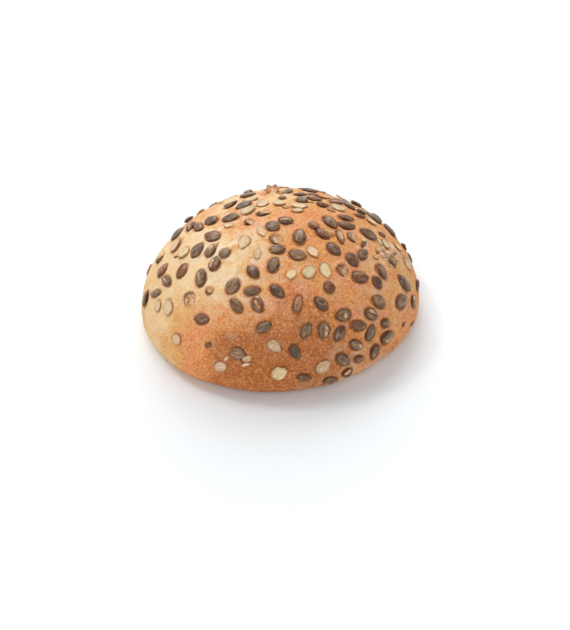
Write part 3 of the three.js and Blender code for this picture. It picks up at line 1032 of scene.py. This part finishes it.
def bake_and_shade(points):
    """How dark the crust is painted, 0 pale to 1 dark. It is partly real browning and partly painted
    light and shade: palest on the upper left, where the light falls, and darkest low in front, where
    shade falls.

    lean is how far up a point is as seen from the front, in radii.
    """
    x, y, z = loaf_shares(points)
    lean = z * HEIGHT / RADIUS * math.cos(EYE_RISE) + y * math.sin(EYE_RISE)
    # upper: paler on the upper left, painted light as well as lighter baking, and browner to the
    # right.
    upper = 0.62 * smooth_step(x, -0.5, 0.3) - 0.28 * smooth_step(x, 0.45, 0.8)
    upper += 0.4 * smooth_step(lean, 0.46, 0.64) * (1 - smooth_step(x, -0.35, 0.1))
    upper -= 0.3 * smooth_step(lean, 0.66, 0.8)
    upper += 0.15 * hump(x, 0.03, 0.12) * hump(lean, 0.08, 0.18)
    # middle and low: painted shade low in front, from the left to the middle, together with real
    # browning.
    middle = smooth_step(x, -0.92, -0.22) * (1 - 0.5 * smooth_step(x, 0.15, 0.65))
    low = middle * (1 - smooth_step(lean, -0.3, 0.22))
    # Darker near the base on the far left.
    foot = 0.15 * (1 - smooth_step(z, 0.1, 0.4)) * (1 - middle) * (1 - smooth_step(x, -0.5, 0))
    # Darker towards the bottom at the back.
    behind = 0.35 * smooth_step(y, 0.1, 0.6) * (1 - smooth_step(z, 0.05, 0.5))
    # A darker patch low in front, left of the middle: painted shade together with browning.
    scorched = 0.26 * hump(x, -0.25, 0.25) * hump(lean, -0.25, 0.2)
    return upper + (1.12 - upper) * low + foot + behind + scorched


def left_flour(points):
    """Flour left along the foot of the loaf and as a haze on its right, and dusted on its top."""
    x, y, z = loaf_shares(points)
    foot = 1.3 * hump(z, 0, 0.1) * hump(np.degrees(np.arctan2(y, x)), -42, 38)
    top = 0.7 * hump(x, -0.45, 0.4) * smooth_step(z, 0.45, 0.85)
    haze = 0.15 * smooth_step(x, 0.05, 0.5) * (1 - smooth_step(y, -0.4, 0.4))
    return foot + top + haze


def shape_crust(settings):
    """The crust, drawn over the loaf's form, lumpy, and raised round its seeds."""
    cage = crust_cage()
    points = crust_points(*drawn_over(mesh_points(cage.data)))
    normals = outward(points)
    # toasted holds the rings of painted shade round the seeds.
    relief, flour, toasted = seed_relief(points, settings)
    lumps = np.array([lumps_at(p) + lumps_at(p, FINE_LUMPS) for p in points])
    foot = np.clip(points[:, 2] / FOOT_FADE, 0, 1)
    moved = points + normals * ((lumps + relief) * foot)[:, None]
    moved[:, 2] = np.maximum(moved[:, 2], 0)
    set_points(cage.data, moved)
    bpy.ops.object.mode_set(mode="EDIT")
    bpy.ops.mesh.select_mode(type="EDGE")
    bpy.ops.mesh.select_all(action="DESELECT")
    bpy.ops.mesh.select_non_manifold()
    bpy.ops.mesh.extrude_region_move()
    resize_picked(INNER_RIM, INNER_RIM, 1, (CENTRE[0], CENTRE[1], 0))
    move_picked(0, 0, UNDERSIDE_HOLLOW)
    bpy.ops.mesh.edge_face_add()
    bpy.ops.mesh.poke()
    bpy.ops.mesh.select_all(action="SELECT")
    bpy.ops.mesh.normals_make_consistent(inside=False)
    bpy.ops.object.mode_set(mode="OBJECT")
    bpy.ops.object.shade_smooth()
    paint_crust(cage.data, flour, toasted)
    return cage


def paint_crust(mesh, halo, toasted):
    """Paints how dark the crust is, partly baking and partly painted light and shade, where flour
    lies and where the underside is.

    The halos and the rings of painted shade round the seeds are for the crust's own points, which
    come before the underside's.
    """
    points = mesh_points(mesh)
    flour = left_flour(points)
    baked = bake_and_shade(points)
    crust = slice(len(halo))
    flour[crust] += halo * (0.75 - 0.4 * np.clip(baked[crust], 0, 1))
    # The toasted rings are painted shade: they thin the flour round each seed and darken the crust
    # there.
    flour[crust] *= 1 - 0.7 * toasted
    baked[crust] += 0.35 * toasted
    paint(mesh, "bake", baked)
    paint(mesh, "flour", np.clip(flour, 0, 1))
    paint(mesh, "underside", np.clip(1 - points[:, 2] / UNDERSIDE_EDGE, 0, 1))


# ---------------------------------------------------------------------------
# Seeds
# ---------------------------------------------------------------------------
# How sharply a seed narrows to its tip and to its blunt end.
TIP_SHARPNESS, BLUNT_SHARPNESS = 0.36, 0.2
# How far the rim stands out, how flat the flanks next to it are, how far from the rim they reach,
# and how deep the valley along the back is.
RIM_SPREAD, FLANK_HEIGHT, FLANK_REACH, VALLEY_DEPTH = 1.07, 0.72, 0.62, 0.07
# Points this near a plane or ring count as on it, and points past the last are its poles.
ON_RING, BEFORE_POLES = 0.01, 0.97


def hulled_seed(name, around, along):
    """A hulled seed in edit mode: a pointed tip along +X, a blunter end and a thin raised rim.

    It is drawn from a ball whose poles are turned to the seed's two ends.
    """
    deselect_all()
    bpy.ops.mesh.primitive_uv_sphere_add(segments=around, ring_count=along, radius=1)
    seed = open_piece(name)
    bpy.ops.transform.rotate(value=math.pi / 2, orient_axis="Y", center_override=(0, 0, 0))
    for ring in range(1, along):
        x = math.cos(math.pi * ring / along)
        narrowing = (1 - x * x) ** (TIP_SHARPNESS if x > 0 else BLUNT_SHARPNESS)
        pick(seed, "VERT", lambda co, normal: abs(co.x - x) < ON_RING)
        resize_picked(1, narrowing, narrowing)
    pick(seed, "VERT", lambda co, normal: abs(co.z) < ON_RING and abs(co.x) < BEFORE_POLES)
    resize_picked(1, RIM_SPREAD, 1)
    pick(seed, "VERT", lambda co, normal: ON_RING < abs(co.z) < FLANK_REACH * abs(co.y))
    resize_picked(1, 1, FLANK_HEIGHT)
    pick(
        seed,
        "VERT",
        lambda co, normal: co.z > 0 and abs(co.y) < ON_RING and abs(co.x) < BEFORE_POLES,
    )
    move_picked(0, 0, -VALLEY_DEPTH)
    return seed


def rounded(master):
    """Leaves edit mode and rounds a master once."""
    bpy.ops.object.mode_set(mode="OBJECT")
    rounding = master.modifiers.new("rounding", "SUBSURF")
    rounding.levels = 1
    rounding.render_levels = 1
    bpy.ops.object.modifier_apply(modifier=rounding.name)
    return master


def inset_picked(*steps):
    """Insets the picked faces step by step, each step a width and a rise."""
    for width, rise in steps:
        bpy.ops.mesh.inset(thickness=width, depth=rise)


def show_inside():
    """Gives the picked faces the second material of the piece, the seed's inside."""
    seed = bpy.context.object
    seed.data.materials.append(None)
    seed.data.materials.append(None)
    seed.active_material_index = 1
    bpy.ops.object.material_slot_assign()


def whole_seed_master():
    """One whole seed, with a shallow valley along the middle of its back."""
    return rounded(hulled_seed("whole seed master", 16, 10))


def burst_seed_master(opening):
    """A seed whose skin has burst, its tan inside showing in the gap."""
    middle_x, middle_y, reach_x, reach_y = opening
    seed = hulled_seed("burst seed master", 20, 14)

    def in_gap(co, normal):
        x, y = (co.x - middle_x) / reach_x, (co.y - middle_y) / reach_y
        return co.z > 0.1 and x * x + y * y < 1

    pick(seed, "FACE", in_gap)
    inset_picked((0.03, 0.07), (0.035, -0.17))
    show_inside()
    inset_picked((0.06, 0.05))
    return rounded(seed)


def broken_seed_master():
    """A seed that has snapped across, its tan inside showing at the break."""
    seed = hulled_seed("broken seed master", 16, 10)
    bpy.ops.mesh.select_all(action="SELECT")
    bpy.ops.mesh.bisect(
        plane_co=(0.15, 0, 0), plane_no=(0.75, 0.2, 0.62), use_fill=True, clear_outer=True
    )
    show_inside()
    inset_picked((0.09, -0.1))
    bpy.ops.mesh.poke()
    return rounded(seed)


def kernel_master():
    """A thin slice of kernel with a toasted rim."""
    deselect_all()
    bpy.ops.mesh.primitive_circle_add(vertices=20, radius=1, fill_type="NGON")
    flake = open_piece("kernel master")
    bpy.ops.mesh.extrude_region_move(TRANSFORM_OT_translate={"value": (0, 0, 1)})
    inset_picked((0.05, 0.06), (0.12, -0.14), (0.2, 0.06), (0.3, -0.1))
    bpy.ops.mesh.poke()
    pick(flake, "VERT", lambda co, normal: co.x > 0.5)
    resize_picked(1.06, 0.72, 1)
    bpy.ops.mesh.select_all(action="SELECT")
    bpy.ops.mesh.normals_make_consistent(inside=False)
    return rounded(flake)


def chip_master():
    """A crumb of broken seed."""
    deselect_all()
    bpy.ops.mesh.primitive_ico_sphere_add(subdivisions=2, radius=1)
    chip = open_piece("chip master")
    pick(chip, "FACE", lambda co, normal: normal.z > 0.75)
    inset_picked((0.12, -0.15))
    bpy.ops.object.mode_set(mode="OBJECT")
    return chip


def husk_master():
    """One thin petal of husk, cupped along its length."""
    petal = hulled_seed("husk master", 12, 8)
    pick(petal, "VERT", lambda co, normal: co.z > 0)
    move_picked(0, 0, -0.75)
    pick(petal, "VERT", lambda co, normal: abs(co.y) < 0.5)
    move_picked(0, 0, -0.8)
    return rounded(petal)


def unit_shape(piece):
    """A master's points, centred, two long, two wide and two thick."""
    points = mesh_points(piece.data)
    low, high = points.min(axis=0), points.max(axis=0)
    return (points - (low + high) / 2) / ((high - low) / 2)


# Waves of the bends and, along each axis, of the folds over a seed's half size.
BEND_WAVES, FOLD_WAVES = 1.2, np.array([1.5, 4.5, 1])
# How much more a seed bends across and up than along.
BEND_SHARES = np.array([1, 1.3, 1.6])
# A flake's ragged outline: waves over its half size, and how far each kind of wave goes.
RAGGED = ((1.7, 0.13), (4.2, 0.1))
# The most that a seed rolls and pitches on its seat, in degrees.
MOST_ROLL, MOST_PITCH = 9, 5
# Patterns on a skin are drawn out along the seed, so its length counts for less.
LAY_SHARES = np.array([0.35, 1, 1])
# Where the darkened edge of a seed starts and how soft it is, in shares of its half size. Its rim
# and underside are painted darker, partly toasting and partly painted shade where it meets the
# crust.
EDGE_START, EDGE_SOFTNESS = 0.7, 0.25
# noise_vector starts from the clock unless it is told where to start, and every run has to give
# the same seeds.
BEND_DRAW = 5
noise.seed_set(BEND_DRAW)


def raggedness(unit, shift):
    """How far the outline of a thin flake swells or shrinks."""
    swelling = 0
    for waves, share in RAGGED:
        flat = [Vector((p[0], p[1], 0)) * waves + shift for p in unit]
        swelling = swelling + share * np.array([noise.noise(place) for place in flat])
    return 1 + swelling * np.hypot(unit[:, 0], unit[:, 1])


def seed_copy(name, master, unit, seat, rng):
    """A copy of a master with its own mesh, laid on its seat, no two quite alike."""
    mesh = master.data.copy()
    shift = Vector((rng.uniform(0, 9), rng.uniform(0, 9), rng.uniform(0, 9)))
    bends = np.array([noise.noise_vector(Vector(p) * BEND_WAVES + shift) for p in unit])
    folds = np.array([noise.noise(Vector(p * FOLD_WAVES) + shift) for p in unit])
    shaped = unit + bends * MAKES[seat.kind].unevenness * BEND_SHARES
    shaped[:, 2] += folds * MAKES[seat.kind].wrinkles * 2 * np.clip(unit[:, 2] + 0.6, 0, 1)
    edge = np.clip((np.hypot(unit[:, 0], unit[:, 1]) - EDGE_START) / EDGE_SOFTNESS, 0, 1)
    # The underside is marked as well, so that it is painted dark: painted shade where the seed faces
    # the crust.
    edge = np.maximum(edge, np.clip(0.15 - 2 * unit[:, 2], 0, 1))
    size = np.array([seat.length, seat.width, seat.thickness])
    scaled = shaped * size / 2
    if seat.kind == "kernel":
        scaled[:, :2] *= raggedness(unit, shift)[:, None]
    across = np.cross(seat.normal, seat.along)
    roll = math.radians(rng.uniform(-MOST_ROLL, MOST_ROLL))
    pitch = math.radians(rng.uniform(-MOST_PITCH, MOST_PITCH))
    tilt = Matrix.Rotation(roll, 3, "X") @ Matrix.Rotation(pitch, 3, "Y")
    axes = np.stack([seat.along, across, seat.normal], axis=1) @ np.array(tilt)
    set_points(mesh, scaled @ axes.T + seat.point)
    piece = bpy.data.objects.new(name, mesh)
    bpy.context.scene.collection.objects.link(piece)
    tone = np.tile([*tone_colour(seat.tone, rng), 1.0], len(unit))
    paint(mesh, "tone", tone, "FLOAT_COLOR", "color")
    paint(mesh, "edge", edge)
    paint(mesh, "lay", unit * (LAY_SHARES * size) / 2 + np.array(shift), "FLOAT_VECTOR", "vector")
    mesh.shade_smooth()
    return piece


# How much lighter or darker than its tone a seed may be, and how far each channel may stray.
SHADES, STRAYS = (0.85, 1.2), (0.95, 1.05)
# How much redder and less blue a fully scorched skin is.
SCORCHED_RED, SCORCHED_BLUE = 0.35, 0.25


def tone_colour(tone, rng):
    """A skin colour near the named tone, some way towards scorched."""
    base = np.array(getattr(bpy.context.scene.seed_settings, TONES[tone[0]]))
    shade = rng.uniform(*SHADES)
    scorched = rng.uniform(0, 1) ** 2 * (0 if tone[0] in "ptk" else 1)
    warmth = np.array([1 + SCORCHED_RED * scorched, 1, 1 - SCORCHED_BLUE * scorched])
    return [min(1, channel * shade * rng.uniform(*STRAYS)) for channel in base * warmth]


def give_materials(piece, materials):
    """Gives a piece its materials, each face keeping the number that it had."""
    places = [polygon.material_index for polygon in piece.data.polygons]
    piece.data.materials.clear()
    for material in materials:
        piece.data.materials.append(material)
    piece.data.polygons.foreach_set("material_index", places)


def finish_piece(piece, replaced=None):
    """Ties a piece to the frame."""
    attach(piece, "root")
    if replaced:
        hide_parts(replaced)


def join_pieces(pieces, name):
    """Joins copies into one piece."""
    deselect_all()
    for piece in pieces:
        piece.select_set(True)
    bpy.context.view_layer.objects.active = pieces[0]
    bpy.ops.object.join()
    joined = bpy.context.object
    joined.name = name
    return joined


SEED_MATERIALS = {
    "seed skin": skin_material,
    "seed flesh": flesh_material,
    "kernel face": kernel_material,
}


def seed_materials(*names):
    """The seeds' materials of these names, each built the first time that it is asked for."""
    settings = bpy.context.scene.seed_settings
    return [bpy.data.materials.get(name) or SEED_MATERIALS[name](settings) for name in names]


def press_seeds(kind, masters, materials, draw):
    """Lays every seed of one kind: the solid model's one by one, the others joined by side.

    The masters stand under the second letter of the tones that they are for.
    """
    rng = random.Random(draw)
    units = {letter: unit_shape(master) for letter, master in masters.items()}

    def copy_to(name, seat):
        piece = seed_copy(name, masters[seat.tone[1:]], units[seat.tone[1:]], seat, rng)
        give_materials(piece, materials)
        return piece

    for node, seat in NODE_SEATS.items():
        if seat.kind == kind:
            finish_piece(copy_to("baked_" + node, seat), node)
    for row in (kind, "far_" + kind):
        if row in LOOSE_SEATS:
            copies = [copy_to(row, seat) for seat in LOOSE_SEATS[row]]
            finish_piece(join_pieces(copies, "more_" + row + "_seeds"))
    for master in masters.values():
        bpy.data.objects.remove(master)


# ---------------------------------------------------------------------------
# Operators
# ---------------------------------------------------------------------------
class LOAF_OT_shape_crust(bpy.types.Operator):
    """Shape the crust of the loaf over its solid"""

    bl_idname = "loaf.shape_crust"
    bl_label = "Shape Crust"

    def execute(self, context):
        settings = context.scene.crust_settings
        crust = shape_crust(settings)
        give_materials(crust, [crust_material(settings)])
        finish_piece(crust, "loaf")
        return {"FINISHED"}


class LOAF_OT_press_whole_seeds(bpy.types.Operator):
    """Press the whole seeds onto the crust"""

    bl_idname = "loaf.press_whole_seeds"
    bl_label = "Press Whole Seeds"

    def execute(self, context):
        skin = seed_materials("seed skin")
        press_seeds("whole", {"": whole_seed_master()}, skin, 11)
        return {"FINISHED"}


class LOAF_OT_press_burst_seeds(bpy.types.Operator):
    """Press the burst seeds onto the crust"""

    bl_idname = "loaf.press_burst_seeds"
    bl_label = "Press Burst Seeds"

    def execute(self, context):
        materials = seed_materials("seed skin", "seed flesh")
        masters = {letter: burst_seed_master(opening) for letter, opening in OPENINGS.items()}
        press_seeds("burst", masters, materials, 12)
        return {"FINISHED"}


class LOAF_OT_press_broken_seeds(bpy.types.Operator):
    """Press the broken seeds onto the crust"""

    bl_idname = "loaf.press_broken_seeds"
    bl_label = "Press Broken Seeds"

    def execute(self, context):
        materials = seed_materials("seed skin", "seed flesh")
        press_seeds("broken", {"": broken_seed_master()}, materials, 13)
        return {"FINISHED"}


class LOAF_OT_press_split_kernels(bpy.types.Operator):
    """Press the split kernels onto the crust"""

    bl_idname = "loaf.press_split_kernels"
    bl_label = "Press Split Kernels"

    def execute(self, context):
        kernel = seed_materials("kernel face")
        press_seeds("kernel", {"": kernel_master()}, kernel, 14)
        return {"FINISHED"}


class LOAF_OT_strew_chips(bpy.types.Operator):
    """Strew chips and crumbs of broken seed over the crust, with a husk open at the top"""

    bl_idname = "loaf.strew_chips"
    bl_label = "Strew Chips"

    def execute(self, context):
        kernel = seed_materials("kernel face")
        press_seeds("chip", {"": chip_master()}, seed_materials("seed skin"), 15)
        press_seeds("crumb", {"": chip_master()}, kernel, 17)
        press_seeds("husk", {"": husk_master()}, kernel, 16)
        return {"FINISHED"}


# How far right of the loaf's middle and below it the viewpoint aims, in mm.
AIM_RIGHT, AIM_DOWN = 3.2, 3.6
NEAREST_SEEN, FARTHEST_SEEN = 0.05, 20
FLOOR_SIZE, FLOOR_DROP = 12, 0.1 * MM
# The soft lights: bearing, rise and breadth in degrees. A bearing of 0 is behind the loaf, and 90
# is on its left. The glint light is narrow, so that the seeds shine.
LIGHTS = {
    "back": (0, 35, 40),
    "side": (45, 60, 40),
    "glint": (62, 55, 9),
    "front": (180, 36, 40),
}


def add_camera(settings):
    """The viewpoint, in front of the loaf and above it."""
    aim = Vector(CENTRE) + Vector(FACING_RIGHT) * AIM_RIGHT * MM
    aim -= Vector(FACING_UP) * AIM_DOWN * MM
    back = Vector((0, -math.cos(settings.view_rise), math.sin(settings.view_rise)))
    bpy.ops.object.camera_add(location=aim + back * settings.view_distance)
    camera = bpy.context.object
    camera.rotation_euler = back.to_track_quat("Z", "Y").to_euler()
    camera.data.lens = settings.lens
    camera.data.clip_start, camera.data.clip_end = NEAREST_SEEN, FARTHEST_SEEN
    bpy.context.scene.camera = camera


def add_sky(strength):
    """An even white sky, brighter to look at than it shines."""
    world = bpy.data.worlds.new("studio")
    world.use_nodes = True
    tree = world.node_tree
    shining = tree.nodes["Background"]
    shining.inputs["Color"].default_value = (1, 1, 1, 1)
    shining.inputs["Strength"].default_value = strength
    seen = add_node(tree, "ShaderNodeBackground", Color=(1, 1, 1, 1), Strength=1.0)
    path = add_node(tree, "ShaderNodeLightPath")
    mixed = add_node(tree, "ShaderNodeMixShader")
    tree.links.new(path.outputs["Is Camera Ray"], mixed.inputs[0])
    tree.links.new(shining.outputs[0], mixed.inputs[1])
    tree.links.new(seen.outputs[0], mixed.inputs[2])
    tree.links.new(mixed.outputs[0], tree.nodes["World Output"].inputs["Surface"])
    bpy.context.scene.world = world


def add_soft_light(name, bearing, rise, breadth, strength):
    """A broad far light."""
    bearing, rise = math.radians(bearing), math.radians(rise)
    level = math.cos(rise)
    place = Vector((-math.sin(bearing) * level, math.cos(bearing) * level, math.sin(rise)))
    bpy.ops.object.light_add(type="SUN", location=place)
    light = bpy.context.object
    light.name = name + " light"
    light.data.energy = strength
    light.data.angle = math.radians(breadth)
    light.rotation_euler = place.to_track_quat("Z", "Y").to_euler()


class LOAF_OT_set_stage(bpy.types.Operator):
    """Set the floor, the lights and the viewpoint"""

    bl_idname = "loaf.set_stage"
    bl_label = "Set Stage"

    def execute(self, context):
        settings = context.scene.stage_settings
        deselect_all()
        bpy.ops.mesh.primitive_plane_add(size=FLOOR_SIZE, location=(0, 0, -FLOOR_DROP))
        floor = bpy.context.object
        floor.name = "floor"
        floor.data.materials.append(floor_material(settings))
        add_sky(settings.sky_strength)
        for name, row in LIGHTS.items():
            add_soft_light(name, *row, getattr(settings, name + "_strength"))
        add_camera(settings)
        context.scene.view_settings.view_transform = "Standard"
        return {"FINISHED"}


class LOAF_PT_panel(bpy.types.Panel):
    """The loaf's pieces and settings"""

    bl_label = "Pumpkin Seed Loaf"
    bl_idname = "LOAF_PT_panel"
    bl_space_type = "VIEW_3D"
    bl_region_type = "UI"
    bl_category = "Loaf"

    def draw(self, context):
        for operator in OPERATORS:
            self.layout.operator(operator.bl_idname)
        for name, settings in SETTINGS.items():
            column = self.layout.column()
            for setting in settings.__annotations__:
                column.prop(getattr(context.scene, name), setting)


OPERATORS = (
    LOAF_OT_shape_crust,
    LOAF_OT_press_whole_seeds,
    LOAF_OT_press_burst_seeds,
    LOAF_OT_press_broken_seeds,
    LOAF_OT_press_split_kernels,
    LOAF_OT_strew_chips,
    LOAF_OT_set_stage,
)
SETTINGS = {
    "crust_settings": CrustSettings,
    "seed_settings": SeedSettings,
    "stage_settings": StageSettings,
}
CLASSES = (*SETTINGS.values(), *OPERATORS, LOAF_PT_panel)


def register():
    """Registers the classes and the scene's settings."""
    for each in CLASSES:
        bpy.utils.register_class(each)
    for name, settings in SETTINGS.items():
        setattr(bpy.types.Scene, name, bpy.props.PointerProperty(type=settings))


def unregister():
    """Removes what register added."""
    for name in SETTINGS:
        delattr(bpy.types.Scene, name)
    for each in reversed(CLASSES):
        bpy.utils.unregister_class(each)


def main():
    """Makes the loaf."""
    register()
    bpy.ops.loaf.shape_crust()
    bpy.ops.loaf.press_whole_seeds()
    bpy.ops.loaf.press_burst_seeds()
    bpy.ops.loaf.press_broken_seeds()
    bpy.ops.loaf.press_split_kernels()
    bpy.ops.loaf.strew_chips()
    bpy.ops.loaf.set_stage()


if __name__ == "__main__":
    main()
